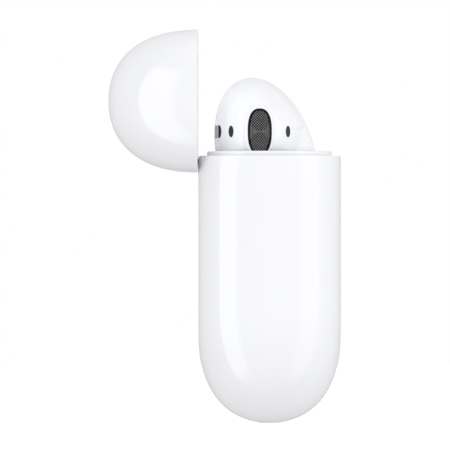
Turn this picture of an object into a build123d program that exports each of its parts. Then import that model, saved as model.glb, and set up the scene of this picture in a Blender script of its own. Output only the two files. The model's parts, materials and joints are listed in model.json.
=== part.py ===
from build123d import *
from math import cos, hypot, radians, sin, sqrt
import os

os.makedirs("parts", exist_ok=True)

# Wireless earbuds case, millimetres. +Z up, the front faces -Y, the hinge is at +Y.
# Origin: bottom centre of the case, in the mouth of the charging port.

# Case
CASE_WIDTH = 44.3
CASE_DEPTH = 21.3
CASE_HEIGHT = 53.5
CORNER_RADIUS = 17.5
EDGE_REACH = 13.0
EDGE_NOSE = 6.6
EDGE_FLANK = 8.1
BODY_WALL = 1.25
LID_WALL = 0.85
SEAM_Z = 40.0
LID_GAP = 0.1

# Tray that holds the earbuds
TRAY_INSET = 1.3
TRAY_TOP = 40.7
DECK_UNDERSIDE = 39.4
WELL_FLOOR = 10.6
WELL_WALL = 0.8
BUD_CLEARANCE = 0.25

# Hinge
PIVOT_Y = 9.45
PIVOT_Z = 38.8
LID_OPEN = 90
KNUCKLE_RADIUS = 1.0
PIN_RADIUS = 0.45
HINGE_HALF = 6.5
LEAF_HALF = 3.0
SPRING_START = 3.15
SPRING_LENGTH = 1.0

# Button, charging port and electronics
BUTTON_Z = 22.0
BUTTON_RADIUS = 3.0
PORT_WIDTH = 7.9
PORT_DEPTH = 2.6
BOARD_BOTTOM = 7.2
BOARD_TOP = 8.0

# Earbud
STEM_X = -6.2
STEM_Y = -4.4
STEM_RADIUS = 2.9
STEM_BOTTOM = 11.3
STEM_RING = 1.2
BUD_WALL = 0.8
NECK_START = 31.0
NECK_END = 40.0
HEAD_LONG = 12.1
HEAD_SHORT = 7.28
HEAD_LEAN = 16.3
HEAD_X = -6.85
HEAD_Y = 0.49
HEAD_Z = 39.9
HEAD_ROUND = 0.69
NOSE_TIP = -16.1
NOSE_Y = 1.41
NOSE_Z = 43.7
GRILLE_WIDTH = 3.56
GRILLE_HEIGHT = 7.16
SHELL_SPLIT = -9.5

MIDDLE = CASE_HEIGHT / 2
HINGE_AXIS = Axis((0, PIVOT_Y, PIVOT_Z), (1, 0, 0))
STEM_TOP = TRAY_TOP + 1


def save(name, part):
    part.label = name
    export_step(part, f"parts/{name}.step")


def pebble(inset):
    """The rounded case form, with every face moved inwards by the inset."""
    half = CASE_DEPTH / 2 - inset
    reach = EDGE_REACH - inset
    nose = EDGE_NOSE * half / (CASE_DEPTH / 2)
    flank = EDGE_FLANK * reach / EDGE_REACH
    core_radius = CORNER_RADIUS - EDGE_REACH
    core_width = CASE_WIDTH - 2 * EDGE_REACH
    core_height = CASE_HEIGHT - 2 * EDGE_REACH
    top = CASE_HEIGHT - EDGE_REACH
    turn_x = core_width / 2 - core_radius
    turn_z = top - core_radius
    with BuildSketch(Plane.YZ, mode=Mode.PRIVATE) as edge:
        with BuildLine():
            Bezier((half, top), (half, top + flank), (nose, top + reach), (0, top + reach))
            Bezier((-half, top), (-half, top + flank), (-nose, top + reach), (0, top + reach))
            Line((-half, top), (half, top))
        make_face()
    with BuildPart() as form:
        with BuildSketch(Plane.XZ):
            with Locations((0, MIDDLE)):
                RectangleRounded(core_width, core_height, core_radius)
        extrude(amount=half, both=True)
        profile = edge.sketch.face()
        extrude(profile, amount=turn_x, both=True)
        end = profile.moved(Location((turn_x, 0, 0)))
        corner = Axis((turn_x, 0, turn_z), (0, 1, 0))
        revolve(end, axis=corner, revolution_arc=90)
        extrude(end.rotate(corner, 90), amount=turn_z - MIDDLE)
        mirror(about=Plane.YZ)
        mirror(about=Plane.XY.offset(MIDDLE))
    return form.part


def head_chord(z):
    """Front and rear y of the leaning ellipse that bounds the earbud head at height z."""
    lean = radians(90 - HEAD_LEAN)
    c = cos(lean)
    s = sin(lean)
    a = (c / HEAD_LONG) ** 2 + (s / HEAD_SHORT) ** 2
    b = c * s * (1 / HEAD_LONG**2 - 1 / HEAD_SHORT**2)
    d = (s / HEAD_LONG) ** 2 + (c / HEAD_SHORT) ** 2
    rise = z - HEAD_Z
    root = sqrt(max(0, (b * rise) ** 2 - a * (d * rise**2 - 1)))
    return HEAD_Y + (-b * rise - root) / a, HEAD_Y + (-b * rise + root) / a


def bud_slice(z):
    """Centre and half sizes of the earbud's level section, easing from stem to head."""
    front, rear = head_chord(z)
    share = min(1, max(0, (z - NECK_START) / (NECK_END - NECK_START)))
    ease = share * share * (3 - 2 * share)
    front = (STEM_Y - STEM_RADIUS) * (1 - ease) + front * ease
    rear = (STEM_Y + STEM_RADIUS) * (1 - ease) + rear * ease
    half = (rear - front) / 2
    x = STEM_X * (1 - ease) + HEAD_X * ease
    return x, (front + rear) / 2, half * (1 - ease + HEAD_ROUND * ease), half


def bud_form(grow):
    """The whole left earbud as one solid, with its faces moved outwards by grow."""
    lean = radians(HEAD_LEAN)
    top = HEAD_Z + hypot(HEAD_LONG * cos(lean), HEAD_SHORT * sin(lean))
    levels = [NECK_START, 32, 33.5, 35, 36.5, 38, 39.5, 41.5, 43.5, 45.5, 47.5, 49.2, 50.4, 51.1, 51.5]
    nose = [(0, 1.95, 3.75), (0.25, 2.5, 4.0), (0.8, 3.1, 4.45), (2.2, 3.95, 5.2)]
    nose += [(4.0, 4.75, 5.85), (6.3, 5.8, 6.45), (8.6, 6.3, 6.8)]
    with BuildPart() as form:
        with BuildSketch(Plane.XY.offset(STEM_BOTTOM)):
            with Locations((STEM_X, STEM_Y)):
                Circle(STEM_RADIUS + grow)
        extrude(amount=NECK_START - STEM_BOTTOM)
        sections = []
        for z in levels:
            x, y, half_x, half_y = bud_slice(z)
            lift = grow * max(0, (z - HEAD_Z) / (top - HEAD_Z))
            with BuildSketch(Plane.XY.offset(z + lift), mode=Mode.PRIVATE) as level:
                with Locations((x, y)):
                    Ellipse(half_x + grow, half_y + grow)
            sections.append(level.sketch.face())
        x, y, half_x, half_y = bud_slice(top)
        loft(sections=[*sections, Vertex(x, y, top + grow)])
        sections = []
        for step, half_y, half_z in nose:
            sink = grow if step < 1 else 0
            with BuildSketch(Plane.YZ.offset(NOSE_TIP + step - sink), mode=Mode.PRIVATE) as ring:
                with Locations((NOSE_Y, NOSE_Z)):
                    Ellipse(half_y + grow, half_z + grow)
            sections.append(ring.sketch.face())
        loft(sections=sections)
    return form.part


def opened(part):
    """A lid piece, drawn closed, swung about the hinge to the open rest position."""
    return part.rotate(HINGE_AXIS, -LID_OPEN)


# Lower shell
with BuildPart() as body_shell:
    add(pebble(0))
    add(pebble(BODY_WALL), mode=Mode.SUBTRACT)
    split(bisect_by=Plane.XY.offset(SEAM_Z), keep=Keep.BOTTOM)
    with Locations((0, PIVOT_Y, SEAM_Z)):
        Box(2 * HINGE_HALF + 0.2, 5, 5.4, mode=Mode.SUBTRACT)
    with BuildSketch(Plane.XZ):
        with Locations((0, BUTTON_Z)):
            Circle(BUTTON_RADIUS + 0.05)
    extrude(amount=-12, mode=Mode.SUBTRACT)
    with BuildSketch(Plane.XY.offset(-1)):
        SlotOverall(PORT_WIDTH + 0.7, PORT_DEPTH + 0.7)
    extrude(amount=4, mode=Mode.SUBTRACT)
save("body_shell", body_shell.part)

# Lid, drawn closed: the groove in its rear rim clears the lower shell as it swings
lid_outline = section(pebble(-LID_GAP), section_by=Plane.XY.offset(SEAM_Z + LID_GAP))
with BuildPart() as rim_sweep:
    with BuildSketch(Plane.XY.offset(SEAM_Z + LID_GAP)) as rear_outline:
        add(lid_outline.faces())
        with Locations((0, PIVOT_Y + 5)):
            Rectangle(CASE_WIDTH * 2, 10, mode=Mode.INTERSECT)
    revolve(axis=HINGE_AXIS, revolution_arc=90)
with BuildPart() as lid_shell:
    add(pebble(0))
    add(pebble(LID_WALL), mode=Mode.SUBTRACT)
    split(bisect_by=Plane.XY.offset(SEAM_Z + LID_GAP), keep=Keep.TOP)
    add(rim_sweep.part, mode=Mode.SUBTRACT)
save("lid_shell", opened(lid_shell.part))

# Liner band inside the lid, open at the rear for the hinge leaf
with BuildPart() as lid_liner:
    add(pebble(LID_WALL + 0.05))
    add(pebble(LID_WALL + 0.5), mode=Mode.SUBTRACT)
    split(bisect_by=Plane.XY.offset(41.0), keep=Keep.TOP)
    split(bisect_by=Plane.XY.offset(46.5), keep=Keep.BOTTOM)
    with Locations((0, PIVOT_Y, 41.0)):
        Box(12.4, 8, 8.4, mode=Mode.SUBTRACT)
save("lid_liner", opened(lid_liner.part))

with BuildPart() as lid_magnets:
    with Locations((-12.4, -7.0, 42.1), (12.4, -7.0, 42.1)):
        Box(2.4, 1.3, 1.8)
save("lid_magnets", opened(lid_magnets.part))

with BuildPart() as tray_magnets:
    with Locations((-12.4, -7.2, 38.3), (12.4, -7.2, 38.3)):
        Box(2.4, 1.3, 1.9)
save("tray_magnets", tray_magnets.part)

# Tray: a deck with two deep wells shaped round the earbuds
bud_pocket = bud_form(BUD_CLEARANCE)
bud_pocket_outside = bud_form(BUD_CLEARANCE + WELL_WALL)
deck_outline = section(pebble(TRAY_INSET), section_by=Plane.XY.offset(SEAM_Z + 0.3))
with BuildPart() as well_cavity:
    add(bud_pocket)
    with BuildSketch(Plane.XY.offset(WELL_FLOOR)):
        with Locations((STEM_X, STEM_Y)):
            Circle(STEM_RADIUS + BUD_CLEARANCE)
    extrude(amount=STEM_TOP - WELL_FLOOR)
    mirror(about=Plane.YZ)
with BuildPart() as inner_tray:
    add(bud_pocket_outside)
    with BuildSketch(Plane.XY.offset(WELL_FLOOR - WELL_WALL)):
        with Locations((STEM_X, STEM_Y)):
            Circle(STEM_RADIUS + BUD_CLEARANCE + WELL_WALL)
    extrude(amount=NECK_START - WELL_FLOOR)
    mirror(about=Plane.YZ)
    split(bisect_by=Plane.XY.offset(DECK_UNDERSIDE + 0.2), keep=Keep.BOTTOM)
    with BuildSketch(Plane.XY.offset(DECK_UNDERSIDE)):
        add(deck_outline.faces())
    extrude(amount=TRAY_TOP - DECK_UNDERSIDE)
    fillet(inner_tray.edges().group_by(Axis.Z)[-1], 0.3)
    add(well_cavity.part, mode=Mode.SUBTRACT)
    with Locations((0, 10.1, 37.8)):
        Box(2 * HINGE_HALF + 0.6, 4, 10, mode=Mode.SUBTRACT)
    with BuildSketch(Plane.XY.offset(DECK_UNDERSIDE - 1)):
        with Locations((0, -3.5)):
            Circle(0.52)
    extrude(amount=3, mode=Mode.SUBTRACT)
    with BuildSketch(Plane.XY.offset(WELL_FLOOR - 2)):
        with Locations((STEM_X, STEM_Y), (-STEM_X, STEM_Y)):
            with GridLocations(2.4, 0, 2, 1):
                Circle(0.4)
    extrude(amount=3, mode=Mode.SUBTRACT)
save("inner_tray", inner_tray.part)

# Hinge: a bracket in the lower shell, a leaf in the lid and a pin through both
with BuildPart() as hinge_bracket:
    with BuildSketch(Plane.YZ):
        with Locations((PIVOT_Y, PIVOT_Z)):
            Circle(KNUCKLE_RADIUS)
        with BuildLine():
            Polyline((8.5, 33), (9.15, 33), (9.15, PIVOT_Z), (8.5, PIVOT_Z), close=True)
        make_face()
        with BuildLine():
            Polyline((9.95, 37.35), (10.7, 37.35), (10.7, 38.6), (9.95, 38.6), close=True)
        make_face()
    extrude(amount=HINGE_HALF, both=True)
    with Locations((0, PIVOT_Y, PIVOT_Z)):
        Box(2 * (SPRING_START + SPRING_LENGTH + 0.15), 5, 2.24, mode=Mode.SUBTRACT)
    with BuildSketch(Plane.YZ):
        with Locations((PIVOT_Y, PIVOT_Z)):
            Circle(PIN_RADIUS + 0.01)
    extrude(amount=HINGE_HALF, both=True, mode=Mode.SUBTRACT)
    with BuildSketch(Plane.YZ):
        with BuildLine():
            Polyline((9.14, 37.35), (9.96, 37.35), (9.96, 37.65), (9.14, 37.65), close=True)
        make_face()
    extrude(amount=HINGE_HALF, both=True)
    with BuildSketch(Plane.XZ):
        with Locations((-5, 35), (5, 35)):
            Circle(0.5)
    extrude(amount=-12, mode=Mode.SUBTRACT)
save("hinge_bracket", hinge_bracket.part)

with BuildPart() as hinge_screws:
    with BuildSketch(Plane.XZ.offset(-8.05)):
        with Locations((-5, 35), (5, 35)):
            Circle(0.9)
    extrude(amount=-0.44)
    with BuildSketch(Plane.XZ.offset(-8.4)):
        with Locations((-5, 35), (5, 35)):
            Circle(0.45)
    extrude(amount=-0.95)
    with BuildSketch(Plane.XZ.offset(-8.05)):
        with Locations((-5, 35), (5, 35)):
            Rectangle(1.0, 0.2)
            Rectangle(0.2, 1.0)
    extrude(amount=-0.2, mode=Mode.SUBTRACT)
save("hinge_screws", hinge_screws.part)

with BuildPart() as hinge_pin:
    with BuildSketch(Plane.YZ):
        with Locations((PIVOT_Y, PIVOT_Z)):
            Circle(PIN_RADIUS)
    extrude(amount=HINGE_HALF - 0.1, both=True)
save("hinge_pin", hinge_pin.part)

with BuildPart() as hinge_leaf:
    with BuildSketch(Plane.YZ):
        with Locations((PIVOT_Y, PIVOT_Z)):
            Circle(KNUCKLE_RADIUS)
        with BuildLine():
            Polyline((8.6, PIVOT_Z), (9.5, PIVOT_Z), (9.5, 45), (8.6, 45), close=True)
        make_face()
    extrude(amount=LEAF_HALF, both=True)
    with Locations((0, 9.05, 43)):
        Box(12, 0.9, 4)
    add(pebble(LID_WALL + 0.05), mode=Mode.INTERSECT)
    with BuildSketch(Plane.YZ):
        with Locations((PIVOT_Y, PIVOT_Z)):
            Circle(PIN_RADIUS + 0.05)
    extrude(amount=LEAF_HALF + 1, both=True, mode=Mode.SUBTRACT)
save("hinge_leaf", opened(hinge_leaf.part))

# Torsion spring coils round the pin, either side of the leaf
with BuildPart() as hinge_spring:
    for start in (SPRING_START + 0.15, -SPRING_START - SPRING_LENGTH + 0.15):
        with BuildLine() as coil:
            Helix(0.28, SPRING_LENGTH - 0.3, 0.72, center=(start, PIVOT_Y, PIVOT_Z), direction=(1, 0, 0))
        with BuildSketch(Plane(origin=coil.line @ 0, z_dir=coil.line % 0)):
            Circle(0.11)
        sweep(path=coil.line)
save("hinge_spring", hinge_spring.part)

# Set-up button in the rear wall
with BuildPart() as button_cap:
    with BuildSketch(Plane.XZ.offset(-9.3)):
        with Locations((0, BUTTON_Z)):
            Circle(BUTTON_RADIUS)
    extrude(amount=-1.3)
    fillet(button_cap.faces().sort_by(Axis.Y)[-1].edges(), 0.12)
save("button_cap", button_cap.part)

with BuildPart() as button_seal:
    with BuildSketch(Plane.XZ.offset(-9.0)):
        with Locations((0, BUTTON_Z)):
            Circle(BUTTON_RADIUS + 0.9)
            Circle(BUTTON_RADIUS + 0.1, mode=Mode.SUBTRACT)
    extrude(amount=-0.38)
save("button_seal", button_seal.part)

with BuildPart() as button_switch:
    with Locations((0, 8.1, BUTTON_Z)):
        Box(4.2, 0.9, 3.2)
    with BuildSketch(Plane.XZ.offset(-8.5)):
        with Locations((0, BUTTON_Z)):
            Circle(1.0)
    extrude(amount=-0.35)
save("button_switch", button_switch.part)

# Charging port at the bottom
with BuildPart() as port_trim:
    with BuildSketch(Plane.XY):
        SlotOverall(PORT_WIDTH + 0.66, PORT_DEPTH + 0.66)
        SlotOverall(PORT_WIDTH, PORT_DEPTH, mode=Mode.SUBTRACT)
    extrude(amount=1.22)
    add(pebble(0.02), mode=Mode.INTERSECT)
save("port_trim", port_trim.part)

with BuildPart() as port_shell:
    with BuildSketch(Plane.XY.offset(1.3)):
        SlotOverall(PORT_WIDTH + 0.6, PORT_DEPTH + 0.6)
    extrude(amount=5.8)
    with BuildSketch(Plane.XY.offset(1.3)):
        SlotOverall(PORT_WIDTH, PORT_DEPTH)
    extrude(amount=5.5, mode=Mode.SUBTRACT)
save("port_shell", port_shell.part)

with BuildPart() as port_contacts:
    with Locations((0, 0, 4.2)):
        Box(6.6, 0.7, 5.16)
    chamfer(port_contacts.faces().sort_by(Axis.Z)[0].edges().filter_by(Axis.X), 0.15)
save("port_contacts", port_contacts.part)

# Circuit board, its chips, the cell and its leads
with BuildPart() as main_board:
    with BuildSketch(Plane.XY.offset(BOARD_BOTTOM)):
        RectangleRounded(22, 10, 1.0)
    extrude(amount=BOARD_TOP - BOARD_BOTTOM)
save("main_board", main_board.part)

with BuildPart() as board_chips:
    with Locations((-7.4, 1.2, BOARD_BOTTOM - 0.5), (7.4, 1.2, BOARD_BOTTOM - 0.5)):
        Box(3.4, 3.4, 0.96)
    with Locations((-7.4, -2.6, BOARD_BOTTOM - 0.4), (7.4, -2.6, BOARD_BOTTOM - 0.4)):
        Box(2.4, 1.6, 0.76)
save("board_chips", board_chips.part)

with BuildPart() as battery_cell:
    with BuildSketch(Plane.XY.offset(13.5)):
        with Locations((0, 3.9)):
            RectangleRounded(30, 6.6, 1.6)
    extrude(amount=18.3)
save("battery_cell", battery_cell.part)

with BuildPart() as battery_leads:
    with Locations((-9.2, 1.6, 10.75), (9.2, 1.6, 10.75)):
        Box(1.6, 0.3, 5.4)
save("battery_leads", battery_leads.part)

# Status light between the wells
with BuildPart() as light_pipe:
    with BuildSketch(Plane.XY.offset(38.9)):
        with Locations((0, -3.5)):
            Circle(0.5)
    extrude(amount=TRAY_TOP - 0.02 - 38.9)
save("light_pipe", light_pipe.part)

with BuildPart() as status_led:
    with Locations((0, -3.5, 38.55)):
        Box(0.9, 1.2, 0.6)
save("status_led", status_led.part)

with BuildPart() as led_flex:
    with Locations((0, -3.5, (BOARD_TOP + 38.3) / 2)):
        Box(0.8, 0.16, 38.2 - BOARD_TOP)
save("led_flex", led_flex.part)

# Charging contacts under the left well
with BuildPart() as left_contact_block:
    with Locations((STEM_X, STEM_Y, 8.95)):
        Box(4.4, 3.2, 1.6)
    with BuildSketch(Plane.XY.offset(BOARD_TOP)):
        with Locations((STEM_X, STEM_Y)):
            with GridLocations(2.4, 0, 2, 1):
                Circle(0.4)
    extrude(amount=3, mode=Mode.SUBTRACT)

with BuildPart() as left_contact_pins:
    with BuildSketch(Plane.XY.offset(8.5)):
        with Locations((STEM_X, STEM_Y)):
            with GridLocations(2.4, 0, 2, 1):
                Circle(0.34)
    extrude(amount=STEM_BOTTOM - 0.06 - 8.5)
    fillet(left_contact_pins.faces().group_by(Axis.Z)[-1].edges(), 0.2)

# Left earbud
bud_outside = bud_form(0)
bud_inside = bud_form(-BUD_WALL)
bud_recess = bud_form(-0.3)
with BuildPart() as bud_skin:
    add(bud_outside)
    add(bud_inside, mode=Mode.SUBTRACT)
    split(bisect_by=Plane.XY.offset(STEM_BOTTOM + STEM_RING), keep=Keep.TOP)
with BuildPart() as sensor_prisms:
    with BuildSketch(Plane.YZ.offset(-11.6)):
        with Locations((5.77, NOSE_Z), (-2.8, NOSE_Z)):
            Ellipse(0.5, 0.93)
    extrude(amount=-6)
with BuildPart() as vent_prism:
    with BuildSketch(Plane.XZ.offset(-4)):
        with Locations((-8.4, 43.64)):
            SlotOverall(4.4, 1.95)
    extrude(amount=-8)
with BuildPart() as left_front_shell:
    add(bud_skin.part)
    split(bisect_by=Plane.YZ.offset(SHELL_SPLIT), keep=Keep.BOTTOM)
    with BuildSketch(Plane.YZ.offset(NOSE_TIP - 1)):
        with Locations((NOSE_Y, NOSE_Z)):
            Ellipse(GRILLE_WIDTH / 2, GRILLE_HEIGHT / 2)
    extrude(amount=2.5, mode=Mode.SUBTRACT)
    add(sensor_prisms.part, mode=Mode.SUBTRACT)
    add(vent_prism.part, mode=Mode.SUBTRACT)

with BuildPart() as left_rear_shell:
    add(bud_skin.part)
    split(bisect_by=Plane.YZ.offset(SHELL_SPLIT), keep=Keep.TOP)
    add(vent_prism.part, mode=Mode.SUBTRACT)

with BuildPart() as left_sensor_windows:
    add(bud_skin.part)
    add(sensor_prisms.part, mode=Mode.INTERSECT)

with BuildPart() as left_vent_mesh:
    add(bud_recess)
    add(bud_inside, mode=Mode.SUBTRACT)
    add(vent_prism.part, mode=Mode.INTERSECT)

with BuildPart() as left_grille_rim:
    with BuildSketch(Plane.YZ.offset(NOSE_TIP - 0.03)):
        with Locations((NOSE_Y, NOSE_Z)):
            Ellipse(GRILLE_WIDTH / 2 - 0.01, GRILLE_HEIGHT / 2 - 0.01)
            Ellipse(GRILLE_WIDTH / 2 - 0.22, GRILLE_HEIGHT / 2 - 0.22, mode=Mode.SUBTRACT)
    extrude(amount=0.75)

with BuildPart() as left_speaker_grille:
    with BuildSketch(Plane.YZ.offset(NOSE_TIP + 0.1)):
        with Locations((NOSE_Y, NOSE_Z)):
            Ellipse(GRILLE_WIDTH / 2 - 0.23, GRILLE_HEIGHT / 2 - 0.23)
    extrude(amount=0.3)

with BuildPart() as left_speaker_driver:
    with BuildSketch(Plane.YZ.offset(-13.5)):
        with Locations((NOSE_Y, NOSE_Z)):
            Circle(2.9)
    extrude(amount=1.6)
    with BuildSketch(Plane.YZ.offset(-12)):
        with Locations((NOSE_Y, NOSE_Z)):
            Circle(2.2)
    extrude(amount=0.8)

with BuildPart() as left_head_board:
    with BuildSketch(Plane.YZ.offset(-10.6)):
        with Locations((NOSE_Y, NOSE_Z)):
            Circle(3.8)
    extrude(amount=0.6)

with BuildPart() as left_head_magnet:
    with BuildSketch(Plane.YZ.offset(-4.8)):
        with Locations((1.8, 43.8)):
            Circle(1.4)
    extrude(amount=1.4)

with BuildPart() as left_stem_battery:
    with BuildSketch(Plane.XY.offset(14.5)):
        with Locations((STEM_X, STEM_Y)):
            Circle(1.75)
    extrude(amount=18)

with BuildPart() as left_stem_ring:
    with BuildSketch(Plane.XY.offset(STEM_BOTTOM)):
        with Locations((STEM_X, STEM_Y)):
            Circle(STEM_RADIUS)
            Circle(1.6, mode=Mode.SUBTRACT)
    extrude(amount=STEM_RING)
    fillet(left_stem_ring.edges().group_by(Axis.Z)[0].sort_by(SortBy.RADIUS)[-1], 0.3)

with BuildPart() as left_mic_grille:
    with BuildSketch(Plane.XY.offset(STEM_BOTTOM + 0.1)):
        with Locations((STEM_X, STEM_Y)):
            Circle(1.58)
    extrude(amount=0.25)

# The right side mirrors the left
left_pieces = {
    "contact_block": left_contact_block,
    "contact_pins": left_contact_pins,
    "front_shell": left_front_shell,
    "rear_shell": left_rear_shell,
    "sensor_windows": left_sensor_windows,
    "vent_mesh": left_vent_mesh,
    "grille_rim": left_grille_rim,
    "speaker_grille": left_speaker_grille,
    "speaker_driver": left_speaker_driver,
    "head_board": left_head_board,
    "head_magnet": left_head_magnet,
    "stem_battery": left_stem_battery,
    "stem_ring": left_stem_ring,
    "mic_grille": left_mic_grille,
}
for name, piece in left_pieces.items():
    save("left_" + name, piece.part)
    with BuildPart() as twin:
        mirror(piece.part, about=Plane.YZ)
    save("right_" + name, twin.part)
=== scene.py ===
import json
import math

import bmesh
import bpy
import numpy as np
from mathutils import Matrix, Vector


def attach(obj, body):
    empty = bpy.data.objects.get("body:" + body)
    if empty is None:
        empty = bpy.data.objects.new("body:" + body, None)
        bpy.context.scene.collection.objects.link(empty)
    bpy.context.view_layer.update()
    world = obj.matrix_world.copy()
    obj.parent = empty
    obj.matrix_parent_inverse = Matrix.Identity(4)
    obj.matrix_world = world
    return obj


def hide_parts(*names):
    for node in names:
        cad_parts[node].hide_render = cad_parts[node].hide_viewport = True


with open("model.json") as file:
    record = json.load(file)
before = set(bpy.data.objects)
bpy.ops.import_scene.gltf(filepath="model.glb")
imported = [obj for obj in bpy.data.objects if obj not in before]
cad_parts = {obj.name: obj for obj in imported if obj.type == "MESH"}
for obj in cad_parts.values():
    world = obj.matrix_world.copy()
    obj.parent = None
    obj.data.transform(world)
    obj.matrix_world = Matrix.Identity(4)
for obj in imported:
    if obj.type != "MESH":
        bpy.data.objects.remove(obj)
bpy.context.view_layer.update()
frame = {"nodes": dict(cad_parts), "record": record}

MM = 0.001
record = frame["record"]
nodes = frame["nodes"]
slot_of = {s["node"]: s["material_slot"] for s in record["subparts"]}

# ---------------------------------------------------------------- camera
# The camera looks along +X, straight at the case's left side.
SENSOR = 36.0
DISTANCE = 1.5
VIEW_WIDTH = 0.06767
VIEW_CENTRE = (0.00667, 0.02967)
cam_data = bpy.data.cameras.new("camera")
cam_data.sensor_width = SENSOR
cam_data.lens = SENSOR * DISTANCE / VIEW_WIDTH
cam_data.clip_start = 0.05
cam_data.clip_end = 10
camera = bpy.data.objects.new("camera", cam_data)
bpy.context.collection.objects.link(camera)
camera.location = (-DISTANCE, *VIEW_CENTRE)
camera.rotation_euler = (math.radians(90), 0, math.radians(-90))
bpy.context.scene.camera = camera
bpy.context.scene.view_settings.view_transform = "Standard"


# ---------------------------------------------------------------- materials
WHITE = (0.90, 0.905, 0.925)
RELIEF_HEIGHT = 0.00002


def graph(name):
    """A new node material, its tree and its Principled shader."""
    mat = bpy.data.materials.new(name)
    mat.use_nodes = True
    tree = mat.node_tree
    return mat, tree, tree.nodes["Principled BSDF"]


def add(tree, kind, **sockets):
    """A new node with its inputs, or else its settings, given by name."""
    node = tree.nodes.new(kind)
    for key, value in sockets.items():
        if key in node.inputs:
            node.inputs[key].default_value = value
        else:
            setattr(node, key, value)
    return node


def noise(tree, scale, detail=2.0, stretch=(1, 1, 1)):
    """Noise in object space, with scale in features per metre."""
    coords = add(tree, "ShaderNodeTexCoord")
    mapping = add(tree, "ShaderNodeMapping")
    mapping.inputs["Scale"].default_value = stretch
    tex = add(tree, "ShaderNodeTexNoise", Scale=scale, Detail=detail)
    tree.links.new(coords.outputs["Object"], mapping.inputs["Vector"])
    tree.links.new(mapping.outputs["Vector"], tex.inputs["Vector"])
    return tex.outputs["Fac"]


def span(tree, fac, low, high):
    """Maps a 0..1 factor onto the range low..high."""
    node = add(tree, "ShaderNodeMapRange")
    node.inputs["To Min"].default_value = low
    node.inputs["To Max"].default_value = high
    tree.links.new(fac, node.inputs["Value"])
    return node.outputs["Result"]


def tint(tree, fac, dark, light):
    """A colour that runs from dark to light as a factor goes from 0 to 1."""
    ramp = add(tree, "ShaderNodeValToRGB")
    ramp.color_ramp.elements[0].color = (*dark, 1)
    ramp.color_ramp.elements[1].color = (*light, 1)
    tree.links.new(fac, ramp.inputs["Fac"])
    return ramp.outputs["Color"]


def bump(tree, bsdf, height, strength, distance):
    node = add(tree, "ShaderNodeBump", Strength=strength, Distance=distance)
    tree.links.new(height, node.inputs["Height"])
    tree.links.new(node.outputs["Normal"], bsdf.inputs["Normal"])


def finish_material(name, color, rough, metallic=0.0, vary=0.04, wear=0.02, scale=900, grain=3000,
                    relief=0.02, stretch=(1, 1, 1), **principled):
    """A plastic or metal: small shifts in tone and gloss, and a fine surface relief.

    The shifts have scale features per metre, and the relief has grain features per metre."""
    mat, tree, bsdf = graph(name)
    bsdf.inputs["Metallic"].default_value = metallic
    for key, value in principled.items():
        bsdf.inputs[key.replace("_", " ")].default_value = value
    patch = noise(tree, scale, 3.0, stretch)
    low = [c * (1 - vary) for c in color]
    high = [min(1, c * (1 + vary)) for c in color]
    tree.links.new(tint(tree, patch, low, high), bsdf.inputs["Base Color"])
    tree.links.new(span(tree, patch, rough - wear, rough + wear), bsdf.inputs["Roughness"])
    bump(tree, bsdf, noise(tree, grain, 2.0, stretch), relief, RELIEF_HEIGHT)
    return mat


def clear_material(name, color=(0.95, 0.96, 0.97), rough=0.08, ior=1.49):
    """Clear moulded plastic."""
    mat, tree, bsdf = graph(name)
    bsdf.inputs["Transmission Weight"].default_value = 0.9
    bsdf.inputs["IOR"].default_value = ior
    shade = tint(tree, noise(tree, 700), [c * 0.96 for c in color], color)
    tree.links.new(shade, bsdf.inputs["Base Color"])
    tree.links.new(span(tree, noise(tree, 900), rough, rough + 0.04), bsdf.inputs["Roughness"])
    return mat


def board_material(name):
    """Solder mask over copper tracks, which show as a slightly lighter pattern."""
    mat, tree, bsdf = graph(name)
    coords = add(tree, "ShaderNodeTexCoord")
    brick = add(tree, "ShaderNodeTexBrick", Scale=700)
    brick.inputs["Color1"].default_value = (0.012, 0.09, 0.045, 1)
    brick.inputs["Color2"].default_value = (0.016, 0.12, 0.06, 1)
    brick.inputs["Mortar"].default_value = (0.03, 0.2, 0.1, 1)
    brick.inputs["Mortar Size"].default_value = 0.06
    tree.links.new(coords.outputs["Object"], brick.inputs["Vector"])
    tree.links.new(brick.outputs["Color"], bsdf.inputs["Base Color"])
    tree.links.new(span(tree, noise(tree, 1500), 0.25, 0.4), bsdf.inputs["Roughness"])
    bump(tree, bsdf, brick.outputs["Fac"], 0.3, 0.00003)
    return mat


def weave_material(name, low, high):
    """Grille wire with painted shade and painted highlight: dark where it dips and bright where it rises,
    between two distances from x = 0.
    """
    mat, tree, bsdf = graph(name)
    bsdf.inputs["Metallic"].default_value = 1.0
    coords = add(tree, "ShaderNodeTexCoord")
    parts = add(tree, "ShaderNodeSeparateXYZ")
    tree.links.new(coords.outputs["Object"], parts.inputs[0])
    out = add(tree, "ShaderNodeMath", operation="ABSOLUTE")
    tree.links.new(parts.outputs[0], out.inputs[0])
    # Painted shade and painted highlight: the base colour runs from near black where the wire dips to
    # near white where it rises over a crossing.
    rise = add(tree, "ShaderNodeMapRange")
    rise.inputs["From Min"].default_value = low
    rise.inputs["From Max"].default_value = high
    tree.links.new(out.outputs[0], rise.inputs["Value"])
    # The painted light is scaled by a random tone between 0.85 and 1.
    painted_light_with_tone = add(tree, "ShaderNodeMath", operation="MULTIPLY")
    tree.links.new(rise.outputs["Result"], painted_light_with_tone.inputs[0])
    tree.links.new(span(tree, noise(tree, 2500), 0.85, 1.0), painted_light_with_tone.inputs[1])
    shade = tint(tree, painted_light_with_tone.outputs[0], (0.012, 0.013, 0.013), (0.9, 0.91, 0.91))
    tree.links.new(shade, bsdf.inputs["Base Color"])
    tree.links.new(span(tree, noise(tree, 3500), 0.25, 0.35), bsdf.inputs["Roughness"])
    return mat


def white(rough):
    """Glossy white moulded plastic."""
    return dict(color=WHITE, rough=rough, vary=0.004, wear=0.015, scale=260, grain=1400, relief=0.012,
                Specular_IOR_Level=0.5, IOR=1.49)


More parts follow.
